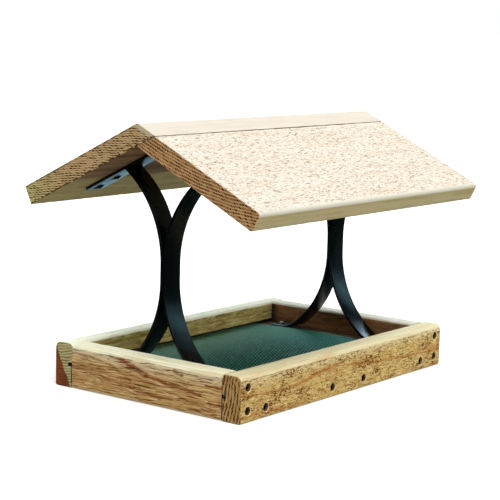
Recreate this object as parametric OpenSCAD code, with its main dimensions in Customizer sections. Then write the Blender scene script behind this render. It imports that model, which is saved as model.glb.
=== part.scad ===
// Fly-through bird feeder: a cedar tray with a screen floor under a two-board gable roof,
// carried by two bowed flat-bar supports. Millimetres, +Z up, +X along the ridge.
// The origin is on the resting surface, under the middle of the tray.

/* [Tray] */
// Length of the front and back rails, along the ridge
tray_length = 402; // [360:1:440]
// Width over the front and back rails
tray_width = 267; // [240:1:300]
// Thickness of all four rails
rail_thickness = 25.4; // [18:0.2:30]
// Height of all four rails
rail_height = 50.8; // [44:0.2:70]
// Rounding of the outer top edge of the rails
rim_round = 7; // [2:0.5:9]
// Rounding of the inner top edge of the rails
inner_round = 4; // [1:0.5:8]
// Rounding of the bottom edges of the rails
base_round = 2.5; // [0.5:0.5:5]

/* [Floor] */
// Thickness of the cross boards that carry the screen and the feet
slat_thickness = 25.4; // [19:0.2:28]
// Width of the cross board under each pair of feet
foot_board_width = 38; // [32:1:50]
// Width of the cross board in the middle of the tray
centre_board_width = 100; // [80:1:140]
// Thickness of the woven screen over its ridges
screen_thickness = 1.2; // [0.9:0.1:2]
// Depth of the groove that holds the screen in the front and back rails
groove_depth = 4; // [2:0.5:7]
// Spacing of the screen's ridges
weave_pitch = 5; // [4:0.5:10]
// Width of each ridge of the screen
ridge_width = 2; // [1:0.2:2.6]
// Gaps cut through the screen along the tray
gaps_along = 12; // [4:1:12]
// Gaps cut through the screen across the tray
gaps_across = 10; // [3:1:10]

/* [Supports] */
// Width of the flat steel bar
bar_width = 27; // [19:0.2:32]
// Thickness of the flat steel bar
bar_thickness = 3.2; // [2.4:0.2:5]
// Radius of the bow, on the faces where a pair of legs meets
bow_radius = 124; // [114:1:140]
// Height at which the lower bow starts
waist_height = 131.5; // [124:0.5:142]
// Straight length along which a pair of legs is joined
waist_length = 18.5; // [8:0.5:30]
// Radius of the bend above each foot, on its lower face
foot_bend_radius = 40; // [25:1:55]
// Flat length of each foot
foot_flat = 14; // [11:0.5:18]
// Space between the supports and the end rails
end_gap = 2.2; // [1:0.2:12]
// Length of each arm of the roof bracket along the slope
bracket_arm = 129; // [105:1:160]
// Inside radius of the fold in the roof bracket
fold_radius = 3; // [1:0.5:8]

/* [Roof] */
// Length of the roof boards along the ridge
roof_length = 438; // [400:1:480]
// Slope length from the ridge to the eave
roof_slope = 184.5; // [165:0.5:200]
// Thickness of the roof boards
roof_thickness = 22.2; // [16:0.2:28]
// Pitch of the roof in degrees
roof_pitch = 26; // [22:0.5:30]
// Height of the ridge
ridge_height = 306.5; // [290:0.5:325]
// Rounding of the front board's eave edges
eave_round = 4; // [1:0.5:7]
// Rounding of the back board's eave edges
back_eave_round = 1; // [0.5:0.5:7]

/* [Screws] */
// Radius of the heads of the rail screws
rail_head_r = 4; // [3:0.1:4.6]
// Radius of the shanks of the rail screws
rail_shank_r = 2.1; // [1.5:0.1:2.6]
// Length of the rail screws under the head
rail_screw_length = 42; // [32:1:50]
// Depth of the recesses for the rail screws
recess_depth = 4; // [3:0.5:8]
// Radius of the heads of the bracket and foot screws
bar_head_r = 3.8; // [3:0.1:5]
// Radius of the shanks of the bracket and foot screws
bar_shank_r = 1.8; // [1.2:0.1:2.4]
// Length of the bracket screws under the head
bracket_screw_length = 19; // [10:1:20]
// Length of the foot screws under the head
foot_screw_length = 12.7; // [8:0.1:13]
// Distance between the screws on each arm of the roof bracket
bracket_screw_step = 29; // [20:1:40]
// Distance between the two screws of the middle cross board
centre_screw_step = 63; // [40:1:70]

/* [Hidden] */

$fn = 48;

// Play round each screw and in its recess
screw_play = 0.2;
head_play = 0.5;
// Depth of the square drive in a screw head
drive_depth = 1;
// Height of a screw head and radius of its dome, as multiples of its own radius
head_rise = 0.6;
head_dome = 1.6;
// Height of the floor screws, as a share of the cross boards' thickness
floor_screw_rise = 0.45;
// Play of the screen in its grooves, across and in height, and beside the feet
screen_side_play = 0.5;
groove_play = 0.6;
screen_foot_play = 0.8;
// Solid sheet between the two layers of ridges, as a share of the screen's thickness
web_share = 0.4;
// Overshoot of cutting shapes
cut = 1;
// A length beyond every size of the feeder
far_away = 600;

// Tray
inner_half_width = tray_width / 2 - rail_thickness;
inner_half_length = tray_length / 2 - rail_thickness;
groove_height = screen_thickness + groove_play;

// Roof: the underside of the boards and of the bracket, measured straight up at the ridge plane
under_boards = ridge_height - roof_thickness / cos(roof_pitch);
under_bracket = under_boards - bar_thickness / cos(roof_pitch);
// The outer screw of each bracket arm sits this far in from the arm's end
bracket_end_margin = 9;
bracket_screw_s = [bracket_arm - bracket_end_margin - bracket_screw_step, bracket_arm - bracket_end_margin];

// Supports: no bow turns further than this, so between a high roof or waist and a tight bow
// the joined straight length grows beyond the waist
bow_turn_limit = 60;
support_x = inner_half_length - end_gap - bar_width / 2;
foot_bend_z = slat_thickness + foot_bend_radius;
lower_drop = bow_radius - foot_bend_radius;
lower_bow_z = min(waist_height, foot_bend_z + lower_drop * sin(bow_turn_limit));
lower_turn = asin((lower_bow_z - foot_bend_z) / lower_drop);
upper_rise = bow_radius * (sin(bow_turn_limit) + (1 - cos(bow_turn_limit)) * tan(roof_pitch));
upper_bow_z = max(waist_height + waist_length, under_bracket - upper_rise);
// The upper bow is swept this far and then cut off flush under the bracket
upper_turn = 80;
foot_start = bow_radius - lower_drop * cos(lower_turn);
foot_screw_y = foot_start + foot_flat / 2;

// Screen
screen_half_length = support_x - bar_width / 2 - screen_foot_play;
screen_half_width = inner_half_width + groove_depth - screen_side_play;

// Rail screws
corner_x = tray_length / 2 - rail_thickness / 2;
corner_z = [rail_height / 4, rail_height * 3 / 4];
foot_board_x = inner_half_length - foot_board_width / 2;
floor_screw_z = slat_thickness * floor_screw_rise;
floor_screw_x = [-foot_board_x, -centre_screw_step / 2, centre_screw_step / 2, foot_board_x];
seat_y = tray_width / 2 - recess_depth;

// Turns a flat outline with +X as depth and +Y as height into a bar along the ridge
module along_ridge(length) {
    rotate([90, 0, 90]) linear_extrude(height = length, center = true) children();
}

// What rounds a square corner at the origin, for a shape that lies towards -X and -Y
module corner_waste(r) {
    translate([-r, -r]) difference() {
        square(r + cut);
        circle(r);
    }
}

// Section of a rail, outer face at x = 0 and inner face at x = rail_thickness
module rail_section() {
    difference() {
        square([rail_thickness, rail_height]);
        translate([0, rail_height]) mirror([1, 0]) corner_waste(rim_round);
        translate([rail_thickness, rail_height]) corner_waste(inner_round);
        mirror([1, 0]) mirror([0, 1]) corner_waste(base_round);
        translate([rail_thickness, 0]) mirror([0, 1]) corner_waste(base_round);
    }
}

// Front rail: groove for the screen, recesses and holes for its screws
module long_rail() {
    difference() {
        translate([0, -tray_width / 2, 0]) along_ridge(tray_length) rail_section();
        translate([-far_away / 2, -inner_half_width - groove_depth, slat_thickness])
            cube([far_away, groove_depth + cut, groove_height]);
        rail_screw_places() rail_screw_hole();
    }
}

// End rail between the long rails, at the -X end and turned from there
module end_rail(turn) {
    difference() {
        rotate([0, 0, turn]) translate([-tray_length / 2, 0, 0]) rotate([90, 0, 0])
            linear_extrude(height = 2 * inner_half_width, center = true) rail_section();
        mirrored_y() rail_screw_places() rail_screw_hole();
    }
}

// A cross board between the long rails, centred on x
module cross_board(x, width) {
    difference() {
        translate([x - width / 2, -inner_half_width, 0])
            cube([width, 2 * inner_half_width, slat_thickness]);
        mirrored_y() rail_screw_places() rail_screw_hole();
        mirrored_x() foot_screw_places() foot_screw_hole();
    }
}

module mirrored_x() {
    children();
    mirror([1, 0, 0]) children();
}

module mirrored_y() {
    children();
    mirror([0, 1, 0]) children();
}

// Screw with a domed head, seated at the origin with its shank towards -Z
module screw(head_r, shank_r, length) {
    head_h = head_r * head_rise;
    difference() {
        union() {
            rotate_extrude() intersection() {
                square([head_r, head_h]);
                translate([0, head_h - head_r * head_dome]) circle(head_r * head_dome);
            }
            translate([0, 0, -length + shank_r]) cylinder(r = shank_r, h = length);
            translate([0, 0, -length]) cylinder(r1 = shank_r / 3, r2 = shank_r, h = shank_r);
        }
        translate([-head_r / 4, -head_r / 4, head_h - drive_depth]) cube([head_r / 2, head_r / 2, head_r]);
    }
}

// Puts its children at the seats of the front rail's screws, heads towards -Y
module rail_screw_places() {
    corner_screw_places() children();
    floor_screw_places() children();
}

module corner_screw_places() {
    for (x = [-corner_x, corner_x], z = corner_z)
        translate([x, -seat_y, z]) rotate([90, 0, 0]) children();
}

module floor_screw_places() {
    for (x = floor_screw_x) translate([x, -seat_y, floor_screw_z]) rotate([90, 0, 0]) children();
}

module rail_screw_hole() {
    cylinder(r = rail_head_r + head_play, h = recess_depth + cut);
    translate([0, 0, -rail_screw_length - screw_play])
        cylinder(r = rail_shank_r + screw_play, h = rail_screw_length + cut);
}

// Puts its children at the seats of the foot screws of the +X support, heads up
module foot_screw_places() {
    for (y = [-foot_screw_y, foot_screw_y])
        translate([support_x, y, slat_thickness + bar_thickness]) children();
}

module foot_screw_hole() {
    translate([0, 0, -foot_screw_length - screw_play])
        cylinder(r = bar_shank_r + screw_play, h = foot_screw_length + cut);
}

// Puts its children under the bracket of the +X support, heads down and square to the slope
module bracket_screw_places() {
    mirrored_y() for (s = bracket_screw_s)
        translate([support_x, 0, under_bracket]) rotate([-roof_pitch, 0, 0])
            translate([0, s - bar_thickness * tan(roof_pitch), 0]) mirror([0, 0, 1]) children();
}

module bracket_screw_hole() {
    translate([0, 0, -bracket_screw_length - screw_play])
        cylinder(r = bar_shank_r + screw_play, h = bracket_screw_length + cut);
}

// Everything above a line that falls from height h at the ridge plane towards +X
module above_slope(h) {
    translate([0, h]) rotate(-roof_pitch) translate([-far_away, 0]) square([2 * far_away, far_away]);
}

// Full section of a roof board falling towards +X, run on past the ridge
module board_section(edge_round) {
    translate([0, ridge_height]) rotate(-roof_pitch) difference() {
        translate([-roof_slope / 2, -roof_thickness]) square([roof_slope * 1.5, roof_thickness]);
        translate([roof_slope, 0]) corner_waste(edge_round);
        translate([roof_slope, -roof_thickness]) mirror([0, 1]) corner_waste(edge_round);
    }
}

// The back board runs over the front one and is bevelled flush with its top face
module back_board_section() {
    difference() {
        board_section(back_eave_round);
        mirror([1, 0]) above_slope(ridge_height);
    }
}

// The front board stops under the back board
module front_board_section() {
    difference() {
        mirror([1, 0]) board_section(eave_round);
        above_slope(under_boards);
    }
}

// Section of the roof bracket: a bar folded at the ridge, and an arm down each slope
module bracket_section() {
    outer_r = fold_radius + bar_thickness;
    arm_start = outer_r * tan(roof_pitch);
    translate([0, under_bracket - fold_radius / cos(roof_pitch)])
        ring_part(outer_r, bar_thickness, 90 - roof_pitch, 90 + roof_pitch);
    for (side = [0, 1]) mirror([side, 0]) translate([0, under_boards]) rotate(-roof_pitch)
        translate([arm_start, -bar_thickness]) square([bracket_arm - arm_start, bar_thickness]);
}

// Part of a ring between two angles less than a half turn apart
module ring_part(outer_r, thickness, from, to) {
    middle = (from + to) / 2;
    reach = 2 * outer_r;
    intersection() {
        difference() {
            circle(outer_r, $fn = 96);
            circle(outer_r - thickness, $fn = 96);
        }
        polygon([
            [0, 0],
            reach * [cos(from), sin(from)],
            reach * 1.5 * [cos(middle), sin(middle)],
            reach * [cos(to), sin(to)]
        ]);
    }
}

// Side view of a back leg: foot, foot bend, lower bow, waist and upper bow
module leg_section() {
    translate([foot_start, slat_thickness]) square([foot_flat, bar_thickness]);
    translate([foot_start, foot_bend_z]) ring_part(foot_bend_radius, bar_thickness, 180 + lower_turn, 270);
    translate([bow_radius, lower_bow_z]) ring_part(bow_radius, bar_thickness, 180, 180 + lower_turn);
    translate([0, lower_bow_z]) square([bar_thickness, upper_bow_z - lower_bow_z]);
    difference() {
        translate([bow_radius, upper_bow_z]) ring_part(bow_radius, bar_thickness, 180 - upper_turn, 180);
        above_slope(under_bracket);
    }
}

module back_leg() {
    difference() {
        translate([support_x, 0, 0]) along_ridge(bar_width) leg_section();
        foot_screw_places() foot_screw_hole();
    }
}

module roof_bracket() {
    difference() {
        translate([support_x, 0, 0]) along_ridge(bar_width) bracket_section();
        bracket_screw_places() bracket_screw_hole();
    }
}

// Comb outline: a web with a tooth at each pitch, teeth towards +Y
module comb(half_length, web, tooth) {
    count = floor((2 * half_length - ridge_width) / weave_pitch);
    translate([-half_length, 0]) square([2 * half_length, web]);
    for (i = [0:count])
        translate([(i - count / 2) * weave_pitch - ridge_width / 2, 0]) square([ridge_width, web + tooth]);
}

// Middle of the space between two ridges nearest to a place
function between_ridges(place, half_length) =
    let (count = floor((2 * half_length - ridge_width) / weave_pitch))
    (round(place / weave_pitch - 0.5 - (count % 2) / 2) + 0.5 + (count % 2) / 2) * weave_pitch;

// One wall with ridges across on top, ridges along underneath, and drain gaps between them
module screen_wall() {
    web = screen_thickness * web_share;
    tooth = (screen_thickness - web) / 2;
    gap = weave_pitch - ridge_width;
    difference() {
        translate([0, 0, slat_thickness + tooth]) union() {
            rotate([90, 0, 0]) linear_extrude(height = 2 * screen_half_width, center = true)
                comb(screen_half_length, web, tooth);
            translate([0, 0, web]) rotate([-90, 0, 90])
                linear_extrude(height = 2 * screen_half_length, center = true)
                    comb(screen_half_width, web, tooth);
        }
        translate([0, 0, slat_thickness - cut]) linear_extrude(height = screen_thickness + 2 * cut)
            for (i = [0.5:gaps_along], j = [0.5:gaps_across])
                translate([
                    between_ridges((2 * i / gaps_along - 1) * screen_half_length, screen_half_length),
                    between_ridges((2 * j / gaps_across - 1) * inner_half_width, screen_half_width)
                ]) square(gap, center = true);
    }
}

module front_rail() {
    color("burlywood") long_rail();
}

module back_rail() {
    color("burlywood") mirror([0, 1, 0]) long_rail();
}

module left_end_rail() {
    color("peru") end_rail(0);
}

module right_end_rail() {
    color("peru") end_rail(180);
}

module left_foot_board() {
    color("tan") cross_board(-foot_board_x, foot_board_width);
}

module right_foot_board() {
    color("tan") cross_board(foot_board_x, foot_board_width);
}

module centre_board() {
    color("tan") cross_board(0, centre_board_width);
}

module floor_screen() {
    color("darkgreen") screen_wall();
}

module front_roof_board() {
    color("wheat") difference() {
        along_ridge(roof_length) front_board_section();
        mirrored_x() bracket_screw_places() bracket_screw_hole();
    }
}

module back_roof_board() {
    color("wheat") difference() {
        along_ridge(roof_length) back_board_section();
        mirrored_x() bracket_screw_places() bracket_screw_hole();
    }
}

module left_roof_bracket() {
    color("black") mirror([1, 0, 0]) roof_bracket();
}

module right_roof_bracket() {
    color("black") roof_bracket();
}

module left_front_leg() {
    color("black") mirror([1, 0, 0]) mirror([0, 1, 0]) back_leg();
}

module left_back_leg() {
    color("black") mirror([1, 0, 0]) back_leg();
}

module right_front_leg() {
    color("black") mirror([0, 1, 0]) back_leg();
}

module right_back_leg() {
    color("black") back_leg();
}

module front_corner_screws() {
    color("dimgray") corner_screw_places() screw(rail_head_r, rail_shank_r, rail_screw_length);
}

module back_corner_screws() {
    color("dimgray") mirror([0, 1, 0]) corner_screw_places()
        screw(rail_head_r, rail_shank_r, rail_screw_length);
}

module front_floor_screws() {
    color("dimgray") floor_screw_places() screw(rail_head_r, rail_shank_r, rail_screw_length);
}

module back_floor_screws() {
    color("dimgray") mirror([0, 1, 0]) floor_screw_places()
        screw(rail_head_r, rail_shank_r, rail_screw_length);
}

module right_bracket_screws() {
    color("dimgray") bracket_screw_places() screw(bar_head_r, bar_shank_r, bracket_screw_length);
}

module left_bracket_screws() {
    mirror([1, 0, 0]) right_bracket_screws();
}

module right_foot_screws() {
    color("dimgray") foot_screw_places() screw(bar_head_r, bar_shank_r, foot_screw_length);
}

module left_foot_screws() {
    mirror([1, 0, 0]) right_foot_screws();
}

front_rail();
back_rail();
left_end_rail();
right_end_rail();
left_foot_board();
right_foot_board();
centre_board();
floor_screen();
front_roof_board();
back_roof_board();
left_roof_bracket();
right_roof_bracket();
left_front_leg();
left_back_leg();
right_front_leg();
right_back_leg();
front_corner_screws();
back_corner_screws();
front_floor_screws();
back_floor_screws();
left_bracket_screws();
right_bracket_screws();
left_foot_screws();
right_foot_screws();
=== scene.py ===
from math import atan2, cos, degrees, hypot, pi, radians, sin, sqrt, tan

import bmesh
import bpy
import numpy as np
from mathutils import Matrix, Vector, noise


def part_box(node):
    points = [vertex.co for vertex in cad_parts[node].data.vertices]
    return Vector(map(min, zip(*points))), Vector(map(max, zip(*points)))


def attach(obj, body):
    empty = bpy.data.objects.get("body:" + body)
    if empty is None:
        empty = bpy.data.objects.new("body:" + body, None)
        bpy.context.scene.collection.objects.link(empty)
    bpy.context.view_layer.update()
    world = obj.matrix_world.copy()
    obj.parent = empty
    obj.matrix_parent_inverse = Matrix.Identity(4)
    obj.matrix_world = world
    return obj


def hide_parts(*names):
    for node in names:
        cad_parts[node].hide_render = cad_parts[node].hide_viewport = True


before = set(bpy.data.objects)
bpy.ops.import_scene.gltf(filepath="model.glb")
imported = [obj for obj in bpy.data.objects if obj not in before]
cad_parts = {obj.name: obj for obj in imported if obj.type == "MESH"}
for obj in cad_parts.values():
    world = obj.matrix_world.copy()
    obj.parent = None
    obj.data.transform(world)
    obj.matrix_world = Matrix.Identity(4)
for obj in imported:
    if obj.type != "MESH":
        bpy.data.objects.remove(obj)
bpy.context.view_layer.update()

# A fly-through bird feeder: rough-sawn cedar tray and roof, powder-coated flat-bar supports,
# a woven vinyl screen floor and dark coated screws. Metres, +Z up, +X along the ridge.

BODY = "root"

# Sizes that the frame gives

front_low, front_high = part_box("front_rail")
slat_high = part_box("centre_board")[1]
leg_low, leg_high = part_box("right_back_leg")
roof_low, roof_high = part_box("back_roof_board")
screen_low, screen_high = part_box("floor_screen")
foot_board_low, foot_board_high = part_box("right_foot_board")

TRAY_HALF_LENGTH = front_high.x
TRAY_HALF_WIDTH = -front_low.y
RAIL_THICK = front_high.y - front_low.y
RAIL_HIGH = front_high.z
SLAT_THICK = slat_high.z
INNER_HALF_WIDTH = TRAY_HALF_WIDTH - RAIL_THICK
SUPPORT_X = (leg_low.x + leg_high.x) / 2
BAR_WIDE = leg_high.x - leg_low.x
ROOF_HALF_LENGTH = roof_high.x
RIDGE_Z = roof_high.z
SCREEN_THICK = screen_high.z - screen_low.z

# Sizes of the real pieces that a box doesn't give: metres, and angles in radians

RIM_ROUND = 0.007
INNER_ROUND = 0.004
BASE_ROUND = 0.0025
GROOVE_DEEP = 0.0044
GROOVE_HIGH = 0.0026
ROOF_THICK = 0.0222
ROOF_SLOPE = 0.1845
ROOF_PITCH = radians(26)
PITCH_COS = cos(ROOF_PITCH)
PITCH_SIN = sin(ROOF_PITCH)
EAVE_ROUND = 0.004
BACK_EAVE_ROUND = 0.001
BAR_THICK = 0.0032
BOW_R = 0.124
WAIST_Z = 0.1315
WAIST_LONG = 0.0185
FOOT_BEND_R = 0.04
FOOT_LONG = 0.014
FOLD_R = 0.003
BRACKET_ARM = 0.129
BRACKET_SCREW_PLACES = (0.091, 0.12)
RECESS_R = 0.0045
RECESS_DEEP = 0.004
CORNER_SCREW_Z = (RAIL_HIGH / 4, RAIL_HIGH * 3 / 4)
FLOOR_SCREW_Z = SLAT_THICK * 0.45
CENTRE_SCREW_STEP = 0.063

UNDER_BOARDS = RIDGE_Z - ROOF_THICK / PITCH_COS
UNDER_BRACKET = UNDER_BOARDS - BAR_THICK / PITCH_COS
FOOT_BEND_Z = SLAT_THICK + FOOT_BEND_R
LOWER_DROP = BOW_R - FOOT_BEND_R
LOWER_RISE = (WAIST_Z - FOOT_BEND_Z) / LOWER_DROP
LOWER_TURN = atan2(LOWER_RISE, sqrt(1 - LOWER_RISE ** 2))
FOOT_START = BOW_R - LOWER_DROP * cos(LOWER_TURN)

scene = bpy.context.scene


def new_object(name, data):
    made = bpy.data.objects.new(name, data)
    scene.collection.objects.link(made)
    return made


# Camera: the photograph's view, found from the feeder's own corners

PHOTO_SIDE = 500
FOCAL_PIXELS = 1560.5
SENSOR = 36
CAMERA_PLACE = Vector((-1.451668, -1.092068, 0.41677))
CAMERA_YAW = 0.9203
CAMERA_PITCH = 0.1464
CAMERA_ROLL = 0.0257


def add_camera():
    """Yaw turns from +Y towards +X, pitch looks down and roll turns clockwise."""
    ahead = Vector((
        sin(CAMERA_YAW) * cos(CAMERA_PITCH),
        cos(CAMERA_YAW) * cos(CAMERA_PITCH),
        -sin(CAMERA_PITCH),
    ))
    level = Vector((cos(CAMERA_YAW), -sin(CAMERA_YAW), 0))
    upright = level.cross(ahead)
    right = level * cos(CAMERA_ROLL) + upright * sin(CAMERA_ROLL)
    up = upright * cos(CAMERA_ROLL) - level * sin(CAMERA_ROLL)
    data = bpy.data.cameras.new("camera")
    data.sensor_width = SENSOR
    data.lens = FOCAL_PIXELS * SENSOR / PHOTO_SIDE
    camera = new_object("camera", data)
    axes = Matrix((right, up, -ahead)).transposed()
    camera.matrix_world = Matrix.Translation(CAMERA_PLACE) @ axes.to_4x4()
    scene.camera = camera


# Shader nodes

class Wire:
    """A node's output. Arithmetic with it adds Math nodes, or Vector Math nodes where it is a vector."""

    def __init__(self, nodes, socket):
        self.nodes = nodes
        self.socket = socket

    def __rsub__(self, other):
        return self.nodes.math("SUBTRACT", other, self)

    def lay(self, share, tone):
        """Lays a share of a tone over this colour, in place."""
        self.socket = self.nodes.mix(share, self, tone).socket

    def parts(self):
        """The vector's X, Y and Z."""
        node = self.nodes.add("SeparateXYZ", {"Vector": self})
        return [Wire(self.nodes, socket) for socket in node.outputs]

    def fit(self, low, high, to_low=0.0, to_high=1.0):
        """The range from low to high, spread smoothly from to_low to to_high."""
        node = self.nodes.add("MapRange", interpolation_type="SMOOTHSTEP")
        return self.nodes.fed(node, self, low, high, to_low, to_high)

    def noise(self, cell, detail=2.0, rough=0.5, seed=0.0):
        """Noise from 0 to 1 whose cells measure cell = (x, y, z) metres."""
        counted = self * tuple(1 / c for c in cell) + (seed, seed * 0.7, seed * 1.3)
        return counted.cell_noise(detail, rough)

    def cell_noise(self, detail, rough, output=0):
        """Noise at a place that is already counted in cells."""
        values = {"Vector": self, "Scale": 1.0, "Detail": detail, "Roughness": rough}
        return Wire(self.nodes, self.nodes.add("TexNoise", values).outputs[output])


def add_operation(method, operation):
    """Gives Wire a method that adds a Math node of one operation."""
    setattr(Wire, method, lambda self, *others: self.nodes.math(operation, self, *others))


for method, operation in (
    ("__add__", "ADD"), ("__sub__", "SUBTRACT"), ("__mul__", "MULTIPLY"), ("__truediv__", "DIVIDE"),
    ("__lt__", "LESS_THAN"), ("__gt__", "GREATER_THAN"), ("__abs__", "ABSOLUTE"), ("floor", "FLOOR"),
    ("fract", "FRACT"), ("dot", "DOT_PRODUCT"), ("length", "LENGTH"),
):
    add_operation(method, operation)


class Nodes:
    """Short calls that add nodes to one tree and link them."""

    def __init__(self, tree):
        self.tree = tree

    def add(self, kind, inputs=None, **settings):
        node = self.tree.nodes.new("ShaderNode" + kind)
        for name, value in settings.items():
            setattr(node, name, value)
        self.fill(node, inputs or {})
        return node

    def fill(self, node, inputs):
        for name, value in inputs.items():
            self.feed(node.inputs[name], value)

    def feed(self, socket, value):
        if isinstance(value, Wire):
            self.tree.links.new(value.socket, socket)
        elif socket.type == "RGBA":
            socket.default_value = (*value, 1)
        else:
            socket.default_value = value

    def fed(self, node, *values, output=0):
        """The node's output, once its inputs are fed in their order."""
        for socket, value in zip(node.inputs, values):
            self.feed(socket, value)
        return Wire(self, node.outputs[output])

    def outputs(self, node):
        """The node's named outputs. A group's inputs end with one that has no name."""
        return {socket.name: Wire(self, socket) for socket in node.outputs if socket.name}

    def math(self, operation, *values):
        first = values[0]
        if not (isinstance(first, Wire) and first.socket.type in ("VECTOR", "RGBA")):
            return self.fed(self.add("Math", operation=operation), *values)
        node = self.add("VectorMath", operation=operation)
        return self.fed(node, *values, output="Value" if operation in ("DOT_PRODUCT", "LENGTH") else 0)

    def scaled(self, vector, amount):
        node = self.add("VectorMath", {"Vector": vector, "Scale": amount}, operation="SCALE")
        return Wire(self, node.outputs[0])

    def shifted(self, place, seed):
        """The place moved by a seed, so that no two boards share their figure."""
        return place + self.scaled((0.37, 0.11, 0.23), seed)

    def joined(self, x, y, z):
        return self.fed(self.add("CombineXYZ"), x, y, z)

    def chance(self, x, y, z):
        """A random number from 0 to 1 that is the same for the same three numbers."""
        node = self.add("TexWhiteNoise", {"Vector": self.joined(x, y, z)}, noise_dimensions="3D")
        return Wire(self, node.outputs[0])

    def mix(self, share, first, second):
        node = self.add("Mix", data_type="RGBA")
        for index, value in ((0, share), (6, first), (7, second)):
            self.feed(node.inputs[index], value)
        return Wire(self, node.outputs[2])

    def group(self, tree, **inputs):
        return self.outputs(self.add("Group", inputs, node_tree=tree))

    def point(self):
        return self.outputs(self.add("TexCoord"))["Object"]

    def bump(self, height, strength, distance):
        values = {"Height": height, "Strength": strength, "Distance": distance}
        return Wire(self, self.add("Bump", values).outputs[0])


def shader_group(vectors, numbers=""):
    """Turns the function below it into a node group of its name. vectors and numbers name its inputs."""
    def build(work):
        tree = bpy.data.node_groups.new(work.__name__, "ShaderNodeTree")
        nodes = Nodes(tree)
        for kind, names in (("Vector", vectors), ("Float", numbers)):
            for name in names.split():
                tree.interface.new_socket(name=name, in_out="INPUT", socket_type="NodeSocket" + kind)
        results = work(nodes, **nodes.outputs(tree.nodes.new("NodeGroupInput")))
        for name, wire in results.items():
            kind = "NodeSocketVector" if wire.socket.type == "VECTOR" else "NodeSocketFloat"
            tree.interface.new_socket(name=name, in_out="OUTPUT", socket_type=kind)
        nodes.fill(tree.nodes.new("NodeGroupOutput"), results)
        return tree
    return build


@shader_group("along across thick")
def board_place(nodes, along, across, thick):
    """Where a point is in its board, and whether it lies on a broad face, an eased edge or an end."""
    point = nodes.point()
    normal = nodes.outputs(nodes.add("NewGeometry"))["Normal"]
    place = nodes.joined(*(point.dot(axis) for axis in (along, across, thick)))
    broad = abs(normal.dot(thick)).fit(0.9, 0.985)
    facing_end = abs(normal.dot(along))
    planed = (1.0 - broad) * (1.0 - facing_end.fit(0.15, 0.45))
    return {"place": place, "broad": broad, "planed": planed, "end": facing_end.fit(0.45, 0.8)}


RING_GAP = 0.0032
RING_WAVER = 0.004


@shader_group("place pith", "seed")
def cedar_figure(nodes, place, pith, seed):
    """Growth rings round the pith as the faces cut them, slow drift of tone, and stripes along the grain."""
    seeded = nodes.shifted(place, seed)
    sway = (seeded * (9, 30, 30)).cell_noise(2.0, 0.5, "Color") - (0.5, 0.5, 0.5)
    bent = place + nodes.scaled(sway, RING_WAVER)
    away = ((bent - pith) * (0.03, 1, 1)).length()
    uneven = seeded.noise((0.2, 0.02, 0.02), 1.0)
    year = (away / RING_GAP + uneven * 2.5).fract()
    return {
        "ring": year.fit(0.35, 0.92) * year.fit(0.92, 1.0, 1.0, 0.0),
        "drift": seeded.noise((0.16, 0.012, 0.012), 3.0),
        "stripe": seeded.noise((0.07, 0.0045, 0.0045), 3.0, 0.6).fit(0.48, 0.66),
        "blotch": seeded.noise((0.035, 0.009, 0.009), 3.0, 0.6).fit(0.54, 0.7),
    }


@shader_group("place fibre tear", "tears wander seed")
def sawn_fibres(nodes, place, fibre, tear, tears, wander, seed):
    """Rough-sawn wood: combed dark and light fibres, fine specks, and dark tears that gather in patches."""
    seeded = nodes.shifted(place, seed)
    wander = seeded.noise((0.03, 0.02, 0.02), 1.0) * wander
    fibre = ((seeded + nodes.joined(0.0, wander, wander)) / fibre).cell_noise(1.5, 0.5)
    tear = (seeded / tear).cell_noise(1.0, 0.5)
    patch = seeded.noise((0.03, 0.014, 0.014), 2.0, 0.55, 5.7)
    torn = (tear + tears * patch.fit(0.36, 0.66, 0.0, 0.34)).fit(0.74, 0.82)
    return {
        "dark": fibre.fit(0.43, 0.34), "light": fibre.fit(0.54, 0.66), "speck": tear.fit(0.38, 0.31),
        "torn": torn, "height": fibre - torn * 0.4,
    }


@shader_group("place pith", "row_gap vessel fill faint warp seed")
def end_rows(nodes, place, pith, row_gap, vessel, fill, faint, warp, seed):
    """End grain: rows of short dark vessels that follow the rings, set like uneven bricks."""
    seeded = nodes.shifted(place, seed)
    slow = seeded.noise((0.05, 0.02, 0.02))
    fine = seeded.noise((0.05, 0.004, 0.004), 1.0)
    apart = place - pith
    _, across, thick = apart.parts()
    away = (apart * (0, 1, 1)).length()
    turn = nodes.math("ARCTAN2", thick, across)
    rows = away / row_gap + slow * (warp * 3.0) + fine * warp
    row = rows.floor()
    steps = turn * away / vessel + nodes.chance(row, seed, 0.5) * 5.0 + fine * 0.8
    strength = nodes.chance(row, steps.floor(), seed).fit(0.1, 0.7, faint, 1.0)
    band = abs(rows.fract() - 0.5).fit(0.37, 0.23)
    dash = abs(steps.fract() - 0.5).fit(fill, fill - 0.12)
    vessels = band * dash * strength
    return {"vessels": vessels, "row": band, "height": fine * 0.4 - vessels}


@shader_group("place start finish", "half_width seed")
def streak_mask(nodes, place, start, finish, half_width, seed):
    """A soft uneven stripe between two places on a board's face."""
    seeded = nodes.shifted(place, seed)
    wander = seeded.noise((0.018, 0.012, 0.012)) - 0.5
    flat = place * (1, 1, 0) + nodes.joined(0.0, wander * 0.005, 0.0)
    reach = finish - start
    offset = flat - start
    share = nodes.fed(nodes.add("Clamp"), offset.dot(reach) / reach.dot(reach))
    away = (offset - nodes.scaled(reach, share)).length()
    broken = seeded.noise((0.01, 0.0016, 0.0016), 2.0, 0.6, 2.4).fit(0.34, 0.56, 0.35, 1.0)
    return {"mask": (away / half_width).fit(1.25, 0.3) * broken}


@shader_group("place on_line towards")
def heartwood_side(nodes, place, on_line, towards):
    """The side of a wavering line, across the grain, on which a board is heartwood."""
    waver = place.noise((0.09, 0.009, 0.009), 2.0, 0.5, 3.3) - 0.5
    past = (place - on_line).dot(towards) + waver * 0.005
    return {"mask": past.fit(-0.0008, 0.0008)}


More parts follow.
